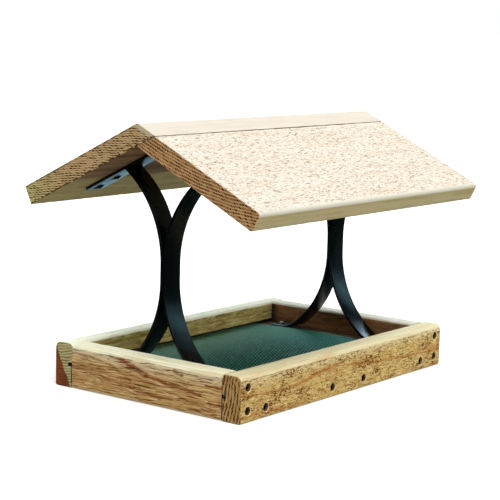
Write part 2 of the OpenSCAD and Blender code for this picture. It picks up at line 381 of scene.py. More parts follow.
def empty_nodes(owner):
    """The nodes helper of a material or a world, with its first nodes taken out."""
    owner.use_nodes = True
    owner.node_tree.nodes.clear()
    return Nodes(owner.node_tree)


def new_material(name):
    """A material with only a Principled shader, its nodes helper and that shader."""
    material = bpy.data.materials.new(name)
    nodes = empty_nodes(material)
    shader = nodes.add("BsdfPrincipled")
    nodes.add("OutputMaterial", {"Surface": Wire(nodes, shader.outputs[0])})
    return material, nodes, shader


# Tones that boards share, and how far past the wood's faces a joint's shade is laid

JOINT_SHADE = (0.01, 0.005, 0.002)
GROOVE_SHADE = (0.004, 0.003, 0.002)
PALE_EDGE = (0.58, 0.52, 0.34)
SHADE_OVER = 0.0012
SHADE_ASIDE = 0.0009


def cedar(
        name, axes, pith, seed, pale, deep, ring, stripe, tear, light, rim, rim_deep,
        butt, butt_row, vessel, vessel_share=0.95, row_pith=None, row_gap=0.0027, vessel_long=0.006,
        fill=0.46, faint=0.35, warp=0.5, row_share=0.6, wander=0.012, eave_highlight=None,
        fibre=(0.012, 0.0024, 0.0024), tear_cell=(0.006, 0.002, 0.002),
        tears=0.5, rings=0.4, stripes=0.5, blotches=0.4, darks=0.5, lights=0.4, specks=0.3, torn=0.8,
        relief=0.0005, rim_fibres=0.2, streak=None, streaks=(), heart=None, heart_colours=None,
        heart_ends=1.0, pale_edges=(), dark_rows=(), rim_reach=None,
        dark_groove=False, dark_joint=None, end_zones=(), dark_corners=None):
    """Cedar of one board. Places are measured along, across and through it.

    Sawn faces: pale and deep drift along the grain. ring, stripe and tear are the latewood, the stripes and
    the torn fibres, and light the raised ones. fibre and tear_cell are their sizes and wander how far they
    stray. rim and rim_deep are the planed edges. rim_reach is two places across, and the share of the rim's
    colour on the face past them. eave_highlight is the place across, level and tone of a painted highlight
    along a rounded edge, with a darker line laid under it.
    End grain: butt, butt_row and vessel are its ground, its rows and their vessels. row_share is the rows'
    strength, fill how much of them the vessels fill, and faint the weakest vessel's strength. end_zones and
    pale_edges tint it between two places in a direction. dark_rows are levels, half widths and strengths.
    Both: streaks are runs of (along, across) places with a half width and a strength. heart is a place and
    a direction that bound the heartwood. dark_groove blackens the screen's groove. dark_joint is the level
    past which an end is in a joint's shade, and dark_corners two places along where a corner's begins."""
    material, nodes, shader = new_material(name)
    here = nodes.group(board_place, along=axes[0], across=axes[1], thick=axes[2])
    place, end = here["place"], here["end"]
    along, across, through = place.parts()
    figure = nodes.group(cedar_figure, place=place, pith=pith, seed=seed)
    sawn = nodes.group(
        sawn_fibres, place=place, fibre=fibre, tear=tear_cell, tears=tears, wander=wander, seed=seed)
    rows = nodes.group(
        end_rows, place=place, pith=row_pith or pith, row_gap=row_gap, vessel=vessel_long, fill=fill,
        faint=faint, warp=warp, seed=seed)
    drift = figure["drift"].fit(0.34, 0.66)

    face = nodes.mix(drift, pale, deep)
    for mask, share, tone in (("ring", rings, ring), ("stripe", stripes, stripe), ("blotch", blotches, ring)):
        face.lay(figure[mask] * share, tone)
    butt = nodes.mix(rows["row"] * row_share, butt, butt_row)
    butt.lay(drift * 0.35, butt_row)
    for direction, start, full, tone, share in end_zones:
        butt.lay(place.dot(direction).fit(start, full, 0.0, share), tone)
    planed = nodes.mix(figure["stripe"], rim, rim_deep)
    planed.lay(figure["ring"] * 0.5, rim_deep)
    planed.lay(sawn["dark"] * rim_fibres, stripe)
    raised = sawn["light"] * lights
    if heart:
        inside = nodes.group(heartwood_side, place=place, on_line=heart[0], towards=heart[1])["mask"]
        heart_tone = nodes.mix(drift, *heart_colours)
        face.lay(inside, heart_tone)
        raised = raised * inside.fit(0.0, 1.0, 1.0, 0.12)
        butt.lay(inside * heart_ends, heart_tone)
        planed.lay(inside * (0.7 * heart_ends), heart_colours[0])
    if rim_reach:
        low, high, share = rim_reach
        face.lay(across.fit(low, high, 0.0, share), rim)
    face.lay(raised, light)
    for index, (points, half_width, strength) in enumerate(streaks):
        for start, finish in zip(points, points[1:]):
            mask = nodes.group(
                streak_mask, place=place, start=(*start, 0), finish=(*finish, 0), half_width=half_width,
                seed=seed + index)["mask"]
            face.lay(mask * strength, streak)
    for mask, share in (("dark", darks), ("speck", specks), ("torn", torn)):
        face.lay(sawn[mask] * share, tear)
    if dark_corners:
        face.lay(abs(along).fit(*dark_corners, 0.0, 0.85), JOINT_SHADE)
    face.lay(here["planed"], planed)
    # Painted highlight along the rounded eave, with a darker olive line laid under it.
    if eave_highlight:
        start, level, tone = eave_highlight
        near_edge = across.fit(start, start + 0.003)
        under = through.fit(level + 0.0004, level - 0.0006)
        line = under * through.fit(level - 0.0036, level - 0.0016)
        face.lay(near_edge * (1.0 - under) * 0.85, tone)
        face.lay(near_edge * line * 0.7, rim_deep)
    butt.lay(rows["vessels"] * vessel_share, vessel)
    for direction, low, high in pale_edges:
        butt.lay(place.dot(direction).fit(low, high, 0.0, 0.8), PALE_EDGE)
    for middle, half_width, strength in dark_rows:
        blob = place.noise((1.0, 0.0042, 1.0), 1.0, 0.5, seed).fit(0.4, 0.54)
        blob = blob * abs(through - middle).fit(half_width * 1.3, half_width * 0.7)
        butt.lay(blob * strength, vessel)
    if dark_joint:
        butt.lay(abs(through) > dark_joint, JOINT_SHADE)
    colour = nodes.mix(end, face, butt)
    # Painted shade in the screen's groove and in the joints below it.
    if dark_groove:
        level = abs(across - (SLAT_THICK + GROOVE_HIGH / 2)) < GROOVE_HIGH / 2 + SHADE_ASIDE
        sunk = abs(through) < INNER_HALF_WIDTH + GROOVE_DEEP + SHADE_OVER
        joint = (across < SLAT_THICK) * (abs(through) < INNER_HALF_WIDTH + SHADE_OVER) * end
        colour.lay(nodes.math("MAXIMUM", level * sunk, joint), GROOVE_SHADE)
    height = sawn["height"] * here["broad"] + rows["height"] * (end * 0.6)
    nodes.fill(shader, {
        "Base Color": colour, "Roughness": here["planed"].fit(0.0, 1.0, 0.88, 0.66),
        "Specular IOR Level": 0.2, "Normal": nodes.bump(height, 0.9, relief)})
    return material


SLOPE_TOP = RIDGE_Z * PITCH_COS


def down_slope(reach):
    """The place across a roof board that lies so far down its slope from the ridge."""
    return reach - RIDGE_Z * PITCH_SIN


def slope_place(down, over):
    """The (across, through) place down a roof board's slope and over its top face."""
    return down_slope(down), over + SLOPE_TOP


LONG_RAIL_AXES = ((1, 0, 0), (0, 0, 1), (0, 1, 0))
END_RAIL_AXES = ((0, 1, 0), (0, 0, 1), (1, 0, 0))
SLAT_AXES = ((0, 1, 0), (1, 0, 0), (0, 0, 1))
FRONT_ROOF_AXES, BACK_ROOF_AXES = (
    ((1, 0, 0), (0, side * PITCH_COS, -PITCH_SIN), (0, side * PITCH_SIN, PITCH_COS))
    for side in (-1, 1))

# Streaks on the rails, as (along, up) places in metres with a half width and a strength

FRONT_RAIL_STREAKS = (
    (((-0.201, 0.0455), (-0.02, 0.0462), (0.201, 0.047)), 0.0009, 0.75),
    (((-0.201, 0.0297), (-0.149, 0.0265), (-0.096, 0.0261), (-0.058, 0.0333), (-0.011, 0.0382)), 0.002, 0.8),
    (((-0.075, 0.0345), (-0.03, 0.0335)), 0.0042, 0.55),
    (((-0.005, 0.033), (0.047, 0.0276), (0.113, 0.0235), (0.201, 0.0205)), 0.0017, 0.75),
    (((0.01, 0.0315), (0.045, 0.03)), 0.0045, 0.5),
    (((-0.182, 0.0205), (-0.096, 0.0194), (-0.01, 0.0242)), 0.0009, 0.6),
    (((-0.201, 0.0072), (-0.158, 0.0065), (-0.089, 0.0037)), 0.0022, 0.8),
    (((0.15, 0.026), (0.201, 0.0235)), 0.003, 0.45),
)
NEAR_END_STREAKS = (
    (((0.05, 0.047), (0.033, 0.044), (-0.002, 0.032)), 0.004, 1.0),
    (((-0.002, 0.032), (-0.03, 0.0283), (-0.079, 0.0233)), 0.0026, 0.85),
    (((-0.043, 0.0432), (-0.053, 0.0418)), 0.003, 0.9),
    (((-0.086, 0.0352), (-0.108, 0.0347)), 0.0016, 1.0),
    (((-0.09, 0.0158), (-0.108, 0.0166)), 0.0012, 1.0),
    (((0.108, 0.042), (0.075, 0.04), (0.05, 0.036), (0.02, 0.023)), 0.0018, 0.6),
    (((0.108, 0.0255), (0.06, 0.02), (0.02, 0.015), (-0.04, 0.012)), 0.002, 0.6),
    (((0.02, 0.029), (-0.06, 0.015), (-0.1, 0.009)), 0.0018, 0.5),
)

FRONT_RAIL_WOOD = cedar(
    "cedar_front_rail", LONG_RAIL_AXES, (0, -0.03, -0.19), 1.0,
    pale=(0.61, 0.45, 0.162), deep=(0.55, 0.39, 0.125), ring=(0.5, 0.25, 0.07), stripe=(0.54, 0.33, 0.1),
    tear=(0.15, 0.043, 0.000), light=(0.84, 0.7, 0.33), rim=(0.72, 0.67, 0.43), rim_deep=(0.64, 0.5, 0.27),
    butt=(0.6, 0.375, 0.145), butt_row=(0.34, 0.15, 0.025), vessel=(0.012, 0.003, 0.0), vessel_share=1.0,
    fill=0.44, faint=0.2, row_share=0.62,
    row_pith=(0, -0.047, -0.55), row_gap=0.0043, vessel_long=0.0034,
    tears=0.74, rings=0.45, stripes=0.4, blotches=0.3, darks=0.6, lights=0.5, specks=0.88, torn=0.95,
    fibre=(0.011, 0.0016, 0.0016), tear_cell=(0.0036, 0.0015, 0.0015), rim_reach=(0.034, 0.046, 0.45),
    streak=(0.42, 0.16, 0.035), streaks=FRONT_RAIL_STREAKS, dark_groove=True)
BACK_RAIL_WOOD = cedar(
    "cedar_back_rail", LONG_RAIL_AXES, (0, -0.01, 0.16), 4.0,
    pale=(0.52, 0.41, 0.14), deep=(0.42, 0.33, 0.09), ring=(0.27, 0.18, 0.05), stripe=(0.3, 0.22, 0.06),
    tear=(0.14, 0.09, 0.02), light=(0.7, 0.6, 0.26), rim=(0.96, 0.96, 0.75), rim_deep=(0.88, 0.84, 0.6),
    butt=(0.6, 0.54, 0.27), butt_row=(0.42, 0.36, 0.14), vessel=(0.085, 0.03, 0.006), vessel_share=0.75,
    row_pith=(0, 0.3, 0.17), row_gap=0.0032, vessel_long=0.0042, warp=0.4,
    fibre=(0.022, 0.0032, 0.0032), tears=0.35, rings=0.5, stripes=0.6, blotches=0.3, darks=0.6, lights=0.6,
    heart=((0, 0.0438, 0.1314), (0, -0.4463, 0.8949)),
    heart_colours=((0.29, 0.07, 0.015), (0.19, 0.048, 0.01)),
    dark_groove=True)
NEAR_END_WOOD = cedar(
    "cedar_left_end_rail", END_RAIL_AXES, (0, 0.02, -0.24), 7.0,
    pale=(0.62, 0.395, 0.145), deep=(0.56, 0.325, 0.11), ring=(0.36, 0.14, 0.04), stripe=(0.43, 0.17, 0.05),
    tear=(0.095, 0.028, 0.004), light=(0.9, 0.7, 0.36), rim=(0.92, 0.91, 0.66), rim_deep=(0.76, 0.6, 0.36),
    butt=(0.8, 0.77, 0.54), butt_row=(0.76, 0.7, 0.46), vessel=(0.6, 0.5, 0.28),
    fibre=(0.036, 0.0015, 0.0015), tear_cell=(0.014, 0.0013, 0.0013), wander=0.006,
    tears=0.2, rings=0.2, stripes=0.75, blotches=0.2, darks=0.86, lights=0.7, specks=0.85,
    dark_joint=TRAY_HALF_LENGTH - 0.0025, relief=0.0007, rim_reach=(0.03, 0.047, 0.45),
    streak=(0.24, 0.05, 0.008), streaks=NEAR_END_STREAKS)
FAR_END_WOOD = cedar(
    "cedar_right_end_rail", END_RAIL_AXES, (0, 0.03, 0.11), 9.0,
    pale=(0.32, 0.155, 0.062), deep=(0.2, 0.09, 0.032), ring=(0.1, 0.03, 0.012), stripe=(0.42, 0.2, 0.08),
    tear=(0.05, 0.018, 0.008), light=(0.36, 0.17, 0.07), rim=(0.74, 0.72, 0.6), rim_deep=(0.66, 0.61, 0.48),
    butt=(0.78, 0.72, 0.55), butt_row=(0.72, 0.62, 0.44), vessel=(0.55, 0.42, 0.26),
    fibre=(0.024, 0.004, 0.004), tears=0.2, rings=0.3, stripes=0.6, blotches=0.3, darks=0.45, lights=0.45,
    dark_corners=(INNER_HALF_WIDTH - 0.014, INNER_HALF_WIDTH - 0.002))
ROOF_FRONT_WOOD = cedar(
    "cedar_front_roof_board", FRONT_ROOF_AXES, (0, *slope_place(0.154, -0.225)), 12.0,
    pale=(0.695, 0.64, 0.55), deep=(0.675, 0.6, 0.505), ring=(0.66, 0.53, 0.4),
    stripe=(0.655, 0.515, 0.385), tear=(0.3, 0.19, 0.105), light=(0.73, 0.7, 0.63),
    rim=(0.53, 0.46, 0.26), rim_deep=(0.44, 0.36, 0.17),
    butt=(0.62, 0.385, 0.17), butt_row=(0.34, 0.128, 0.034), vessel=(0.045, 0.01, 0.001), vessel_share=1.0,
    row_pith=(0, *slope_place(0.02, 0.38)), row_gap=0.0033, vessel_long=0.0038, fill=0.42, warp=0.3,
    row_share=0.45,
    dark_rows=((SLOPE_TOP - 0.0022, 0.0004, 0.5),),
    eave_highlight=(down_slope(ROOF_SLOPE - 0.006), SLOPE_TOP - 0.0042, (0.63, 0.61, 0.515)),
    fibre=(0.0085, 0.0015, 0.0015), tear_cell=(0.0034, 0.0014, 0.0014), relief=0.0003,
    tears=0.2, rings=0.18, stripes=0.75, blotches=0.4, darks=0.85, lights=0.5, specks=0.9, torn=0.9)
ROOF_BACK_WOOD = cedar(
    "cedar_back_roof_board", BACK_ROOF_AXES, (0, *slope_place(0.184, -0.155)), 15.0,
    pale=(0.47, 0.41, 0.185), deep=(0.4, 0.32, 0.135), ring=(0.3, 0.2, 0.08), stripe=(0.36, 0.26, 0.12),
    tear=(0.2, 0.12, 0.05), light=(0.54, 0.46, 0.23),
    rim=(0.585, 0.5, 0.405), rim_deep=(0.55, 0.455, 0.355),
    butt=(0.7, 0.53, 0.26), butt_row=(0.42, 0.265, 0.095), vessel=(0.06, 0.024, 0.001), vessel_share=1.0,
    row_share=0.75,
    end_zones=(
        ((0, 1, 0), down_slope(0.13), down_slope(0.178), (0.6, 0.55, 0.215), 0.7),
        ((0, 1, 0), down_slope(0.15), down_slope(0.09), (0.64, 0.4, 0.21), 0.5)),
    row_pith=(0, *slope_place(0.511, -1.156)), row_gap=0.0026, vessel_long=0.0056, warp=0.4,
    pale_edges=(((0, -sin(2 * ROOF_PITCH), cos(2 * ROOF_PITCH)), SLOPE_TOP - 0.006, SLOPE_TOP - 0.004),),
    heart=((0, down_slope(0.112), SLOPE_TOP - ROOF_THICK), (0, -0.13, -0.99)), heart_ends=0.0,
    heart_colours=((0.25, 0.145, 0.064), (0.12, 0.066, 0.026)), rim_fibres=0.0,
    dark_rows=((SLOPE_TOP - ROOF_THICK + 0.0007, 0.0012, 1.0), (SLOPE_TOP - 0.0013, 0.0006, 0.8)),
    tears=0.2, rings=0.35, stripes=0.4, blotches=0.25, darks=0.3, lights=0.25, specks=0.1)
# Painted shade: the cross boards are a dark brown that stands for the shade at the screen's ends, beside the
# end rails.
SHADED_SLAT_WOOD = cedar(
    "cedar_cross_boards", SLAT_AXES, (0, 0.01, -0.09), 18.0,
    pale=(0.13, 0.085, 0.04), deep=(0.1, 0.06, 0.028), ring=(0.08, 0.04, 0.018), stripe=(0.12, 0.07, 0.03),
    tear=(0.04, 0.022, 0.012), light=(0.17, 0.11, 0.05), rim=(0.15, 0.1, 0.045), rim_deep=(0.12, 0.07, 0.03),
    butt=(0.2, 0.12, 0.05), butt_row=(0.15, 0.08, 0.03), vessel=(0.06, 0.025, 0.01),
    stripes=0.4, blotches=0.3)


def bored_wall():
    """The bored walls of the screw recesses: dark inside as painted shade, with pale torn fibres at the
    mouth.
    """
    material, nodes, shader = new_material("cedar_bored_wall")
    point = nodes.point()
    torn = point.noise((0.0022, 0.0022, 0.0022), 2.0, 0.6)
    # The dark browns of the walls are painted shade in the recess. The pale mouth is torn fibre.
    colour = nodes.mix(torn.fit(0.35, 0.65), (0.26, 0.14, 0.05), (0.06, 0.025, 0.008))
    mouth = abs(point.parts()[1]).fit(TRAY_HALF_WIDTH - 0.001, TRAY_HALF_WIDTH - 0.0004, 0.0, 0.9)
    nodes.fill(shader, {
        "Base Color": nodes.mix(mouth, colour, (0.78, 0.62, 0.34)), "Roughness": 0.85,
        "Specular IOR Level": 0.2, "Normal": nodes.bump(torn, 0.6, 0.0004)})
    return material


def coated_steel(name, colour, roughness, specular, tint, grain, rubbed=()):
    """Powder coat: near-black with a fine orange-peel skin and a dusty haze that dulls it in places.

    rubbed are distances from the middle of the ridge at which a screw has marked the coat, and its tone."""
    material, nodes, shader = new_material(name)
    point = nodes.point()
    peel = point.noise((grain, grain, grain))
    haze = point.noise((0.03, 0.03, 0.03), 3.0, 0.6, 2.0)
    coat = nodes.mix(haze.fit(0.4, 0.7), colour, tuple(c * 1.8 + 0.002 for c in colour))
    gloss = haze.fit(0.35, 0.7, roughness - 0.05, roughness + 0.1)
    x, y, _ = point.parts()
    aside = abs(x) - SUPPORT_X
    for reach, tone in rubbed:
        along = abs(y) - reach
        away = nodes.math("SQRT", aside * aside + along * along)
        ring = (away + peel * 0.001).fit(0.0072, 0.0062)
        coat.lay(ring, tone)
        gloss = ring.fit(0.0, 1.0, gloss, 0.85)
    nodes.fill(shader, {
        "Base Color": coat, "Roughness": gloss, "Specular IOR Level": specular, "Specular Tint": tint,
        "Normal": nodes.bump(peel, 0.25, 0.0003)})
    return material


def screen_vinyl():
    """Dark green vinyl-coated yarn with flecks, and painted sheen and shade: a mottle and checks over the
    weave, stronger in front, a bluer painted sheen to the right and a paler painted sheen towards the back.
    """
    material, nodes, shader = new_material("screen_vinyl")
    point = nodes.point()
    x, y, _ = point.parts()
    patch = point.noise((0.07, 0.05, 0.05))
    fleck = point.noise((0.0026, 0.0022, 0.004), 1.0, 0.5, 4.0)
    slant = nodes.joined(point.dot((0.61, -0.79, 0)), point.dot((0.79, 0.61, 0)), 0.0)
    mottle = slant.noise((0.003, 0.017, 1.0), 0.0, 0.5, 8.0)
    long_steps, wide_steps, _ = (slant / (0.0021, 0.0085, 1.0)).parts()
    column, row = long_steps.floor(), wide_steps.floor()
    crown = nodes.math("FLOORED_MODULO", column + row, 2.0)
    nearer = y.fit(0.06, -0.08, 0.35, 1.0) * nodes.chance(column, row, 0.5).fit(0.0, 1.0, 0.55, 1.0)
    back_sheen = y.fit(-0.02, 0.11) * patch.fit(0.25, 0.6, 0.5, 1.0)
    colour = nodes.mix(patch.fit(0.35, 0.65), (0.006, 0.047, 0.026), (0.009, 0.055, 0.034))
    # Painted light: the mottle and the checks are painted sheen and shade over the weave, and the checks are
    # stronger in front. The bluer tone to the right and the paler tone towards the back are painted sheen.
    # The flecks are the yarn's own.
    for share, tone in (
        (fleck.fit(0.45, 0.6, 0.0, 0.8), (0.04, 0.125, 0.07)),
        (mottle.fit(0.48, 0.36, 0.0, 0.35), (0.001, 0.014, 0.01)),
        (mottle.fit(0.54, 0.66, 0.0, 0.2), (0.026, 0.13, 0.08)),
        ((1.0 - crown) * nearer, (0.0002, 0.004, 0.002)),
        (crown * nearer * 0.7, (0.055, 0.225, 0.165)),
        (x.fit(0.02, 0.15, 0.0, 0.65), (0.022, 0.14, 0.105)),
        (back_sheen * 0.6, (0.085, 0.135, 0.055)),
    ):
        colour.lay(share, tone)
    nodes.fill(shader, {
        "Base Color": colour, "Roughness": fleck.fit(0.3, 0.7, 0.42, 0.58), "Specular IOR Level": 0.04,
        "Specular Tint": (0.75, 1, 0.85), "Normal": nodes.bump(fleck, 0.2, 0.0002)})
    return material


BORED_WALL = bored_wall()
BLACK_COAT = coated_steel(
    "black_powder_coat", (0.001, 0.0014, 0.0014), 0.26, 0.21, (0.8, 0.96, 1.0), 0.0006)
BRACKET_COAT = coated_steel(
    "black_bracket_coat", (0.0014, 0.0019, 0.0018), 0.26, 0.24, (0.85, 0.96, 1.0), 0.0006,
    [(reach * PITCH_COS, tone)
     for reach, tone in zip(BRACKET_SCREW_PLACES, ((0.22, 0.07, 0.022), (0.006, 0.004, 0.003)))])
SCREW_COAT = coated_steel("dark_screw_coat", (0.005, 0.003, 0.001), 0.2, 0.22, (1.0, 1.0, 0.35), 0.0003)
DULL_SCREW_COAT = coated_steel(
    "dull_screw_coat", (0.003, 0.0025, 0.002), 0.6, 0.08, (1.0, 0.9, 0.8), 0.0003)
SCREEN_VINYL = screen_vinyl()


# Meshes

def arc(centre, radius, start, end, steps):
    """Points on an arc, angles in degrees, both ends included."""
    turns = [radians(start + (end - start) * i / steps) for i in range(steps + 1)]
    return [(centre[0] + radius * cos(a), centre[1] + radius * sin(a)) for a in turns]


def walk(outline, step):
    """Points round a closed outline no further apart than step, with every corner kept."""
    points = []
    for (x0, y0), (x1, y1) in zip(outline, outline[1:] + outline[:1]):
        parts = max(1, round(hypot(x1 - x0, y1 - y0) / step))
        points += [(x0 + (x1 - x0) * i / parts, y0 + (y1 - y0) * i / parts) for i in range(parts)]
    return np.array(points)


def outward(points):
    """Unit normals of a closed outline that runs anticlockwise."""
    along = np.roll(points, -1, axis=0) - np.roll(points, 1, axis=0)
    normals = np.stack([along[:, 1], -along[:, 0]], axis=1)
    return normals / np.linalg.norm(normals, axis=1, keepdims=True)


def closed_tube(count, rings, start=0):
    """Faces of a tube: quads between rings of count points each, and a cap at either end."""
    faces = []
    for r in range(rings - 1):
        first, second = start + r * count, start + (r + 1) * count
        for i in range(count):
            j = (i + 1) % count
            faces.append((first + i, first + j, second + j, second + i))
    last = start + (rings - 1) * count
    return faces + [tuple(range(start, start + count)), tuple(range(last, last + count))]


def new_piece(name, points, faces, material, sharp=32):
    """A mesh object with outward faces, smooth shading and sharp edges past an angle in degrees."""
    mesh = bpy.data.meshes.new(name)
    mesh.from_pydata([tuple(p) for p in points], [], faces)
    tidy = bmesh.new()
    tidy.from_mesh(mesh)
    bmesh.ops.recalc_face_normals(tidy, faces=tidy.faces)
    tidy.to_mesh(mesh)
    tidy.free()
    mesh.shade_smooth()
    mesh.set_sharp_from_angle(angle=radians(sharp))
    mesh.materials.append(material)
    return new_object(name, mesh)


def join_frame(piece, node):
    """Puts a finished piece in its CAD node's place."""
    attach(piece, BODY)
    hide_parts(node)


# Timber

GRID = 0.0023
END_EASE = 0.0006
JOINT_GAP = 0.0001
JOINT_EASE = 0.0001
SAW_MARKS = 0.00022
FINE_MARKS = 0.00003


def timber(name, outline, half_length, place, material, seed, broad, worn=0.0005, end_ease=END_EASE):
    """A board swept along its grain. Saw marks and wear only ever go into the wood.

    place turns (along, across, thick) into a point, and broad is the direction of its sawn faces."""
    section = walk(outline, GRID)
    normals = outward(section)
    turning = np.abs(np.cross(np.roll(normals, 1, axis=0), np.roll(normals, -1, axis=0)))
    sawn = np.clip((np.abs(normals @ np.array(broad)) - 0.9) / 0.08, 0, 1)
    inner = np.linspace(-half_length + end_ease, half_length - end_ease, round(2 * half_length / GRID))
    stations = [-half_length, *inner, half_length]
    points = []
    for station in stations:
        at_end = abs(station) == half_length
        for (u, v), (nu, nv), rough, corner in zip(section, normals, sawn, turning):
            spot = Vector((station * 28, u * 190, v * 190)) + Vector((seed, seed * 2, seed * 3))
            swell = 0.5 + 0.5 * noise.noise(spot)
            nick = max(0.0, noise.noise(Vector((station * 70 + seed, u * 90, v * 90))) - 0.12)
            depth = (SAW_MARKS * rough + FINE_MARKS) * swell + worn * nick * min(1.0, corner * 1.5)
            if at_end:
                depth += end_ease * 0.8 + worn * nick
            points.append(place(station, u - nu * depth, v - nv * depth))
    return new_piece(name, points, closed_tube(len(section), len(stations)), material)


def rail_outline(grooved):
    """Section of a rail: distance in from its outer face, and height."""
    outline = arc((RAIL_THICK - BASE_ROUND, BASE_ROUND), BASE_ROUND, 270, 360, 4)
    if grooved:
        groove_top = SLAT_THICK + GROOVE_HIGH
        outline += [
            (RAIL_THICK, SLAT_THICK), (RAIL_THICK - GROOVE_DEEP, SLAT_THICK),
            (RAIL_THICK - GROOVE_DEEP, groove_top), (RAIL_THICK, groove_top),
        ]
    outline += arc((RAIL_THICK - INNER_ROUND, RAIL_HIGH - INNER_ROUND), INNER_ROUND, 0, 90, 5)
    outline += arc((RIM_ROUND, RAIL_HIGH - RIM_ROUND), RIM_ROUND, 90, 180, 7)
    outline += arc((BASE_ROUND, BASE_ROUND), BASE_ROUND, 180, 270, 4)
    return outline


FOOT_BOARD_X = (foot_board_low.x + foot_board_high.x) / 2
CORNER_SCREW_X = TRAY_HALF_LENGTH - RAIL_THICK / 2
RAIL_SCREWS = [(x, z) for x in (-CORNER_SCREW_X, CORNER_SCREW_X) for z in CORNER_SCREW_Z]
FLOOR_SCREWS = [
    (x, FLOOR_SCREW_Z) for x in (-FOOT_BOARD_X, -CENTRE_SCREW_STEP / 2, CENTRE_SCREW_STEP / 2, FOOT_BOARD_X)]
BIT_SIDES = 32
BIT_FLARE = 0.0008


def turned_ring(radius, height, sides):
    turns = [2 * pi * i / sides for i in range(sides)]
    return [(radius * cos(a), radius * sin(a), height) for a in turns]


def bore_recesses(rail, side):
    """Bores the screw recesses, their mouths flared where the bit tore the fibres."""
    profile = [
        (RECESS_R, 0), (RECESS_R, RECESS_DEEP - BIT_FLARE),
        (RECESS_R + BIT_FLARE, RECESS_DEEP), (RECESS_R + 2 * BIT_FLARE, RECESS_DEEP + BIT_FLARE)]
    points, faces = [], []
    for x, z in RAIL_SCREWS + FLOOR_SCREWS:
        faces += closed_tube(BIT_SIDES, len(profile), len(points))
        for radius, height in profile:
            for px, py, pz in turned_ring(radius, height, BIT_SIDES):
                points.append((x + px, side * (TRAY_HALF_WIDTH - RECESS_DEEP + pz), z + py))
    bit = new_piece("bit", points, faces, BORED_WALL)
    cut = rail.modifiers.new("recesses", "BOOLEAN")
    cut.operation = "DIFFERENCE"
    cut.solver = "EXACT"
    cut.material_mode = "TRANSFER"
    cut.object = bit
    bored = bpy.data.meshes.new_from_object(rail.evaluated_get(bpy.context.evaluated_depsgraph_get()))
    rail.modifiers.clear()
    rail.data = bored
    bored.set_sharp_from_angle(angle=radians(32))
    bpy.data.objects.remove(bit)


def make_rails():
    sawn = (1, 0)
    section = rail_outline(True)
    for name, side, wood, seed in (
        ("front_rail", -1, FRONT_RAIL_WOOD, 3.1), ("back_rail", 1, BACK_RAIL_WOOD, 8.4),
    ):
        rail = timber(
            name + "_timber", section, TRAY_HALF_LENGTH,
            lambda s, u, v, side=side: (s, side * (TRAY_HALF_WIDTH - u), v), wood, seed, sawn)
        bore_recesses(rail, side)
        join_frame(rail, name)
    section = rail_outline(False)
    for name, side, wood, seed in (
        ("left_end_rail", -1, NEAR_END_WOOD, 12.9), ("right_end_rail", 1, FAR_END_WOOD, 17.2),
    ):
        rail = timber(
            name + "_timber", section, INNER_HALF_WIDTH - JOINT_GAP,
            lambda s, u, v, side=side: (side * (TRAY_HALF_LENGTH - u), s, v), wood, seed, sawn,
            end_ease=JOINT_EASE)
        join_frame(rail, name)


def eased_box(low, high, ease):
    """Outline of a rectangle with small flats on its corners."""
    (x0, y0), (x1, y1) = low, high
    return [
        (x0 + ease, y0), (x1 - ease, y0), (x1, y0 + ease), (x1, y1 - ease),
        (x1 - ease, y1), (x0 + ease, y1), (x0, y1 - ease), (x0, y0 + ease)]


def make_cross_boards():
    ease = 0.0008
    for node, seed in (("left_foot_board", 21.0), ("right_foot_board", 24.0), ("centre_board", 27.0)):
        low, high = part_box(node)
        outline = eased_box((low.x, low.z), (high.x, high.z), ease)
        board = timber(
            node + "_timber", outline, INNER_HALF_WIDTH, lambda s, u, v: (u, s, v), SHADED_SLAT_WOOD, seed, (0, 1))
        join_frame(board, node)


def make_roof_boards():
    """Both boards in their own slope: distance down from the ridge, and height over the slope."""
    def eave_edge(r):
        edge = arc((ROOF_SLOPE - r, -ROOF_THICK + r), r, -90, 0, 5)
        return edge + arc((ROOF_SLOPE - r, -r), r, 0, 90, 5)

    lap = ROOF_THICK / tan(2 * ROOF_PITCH)
    seam = 0.00025
    back = [(-lap + seam, -ROOF_THICK), *eave_edge(BACK_EAVE_ROUND)]
    back += [(0.0008, 0), (-0.0005, -0.0007), (-lap, -ROOF_THICK + seam)]
    top_start = ROOF_THICK / sin(2 * ROOF_PITCH)
    front = [(ROOF_THICK * tan(ROOF_PITCH), -ROOF_THICK), *eave_edge(EAVE_ROUND)]
    front += [(top_start + 0.0009, 0), (top_start - 0.0002, -0.0009)]
    for name, side, outline, wood, seed in (
        ("front_roof_board", -1, front, ROOF_FRONT_WOOD, 31.0),
        ("back_roof_board", 1, back, ROOF_BACK_WOOD, 36.0),
    ):
        def place(s, u, v, side=side):
            reach = u * PITCH_COS + v * PITCH_SIN
            return (s, side * reach, RIDGE_Z - u * PITCH_SIN + v * PITCH_COS)
        board = timber(name + "_timber", outline, ROOF_HALF_LENGTH, place, wood, seed, (0, 1), worn=0.0007)
        join_frame(board, name)


# Flat bar

EDGE_R = 0.00055
BOW_STEPS = 36
BEND_STEPS = 14
FOLD_STEPS = 8
ARM_STEPS = 12


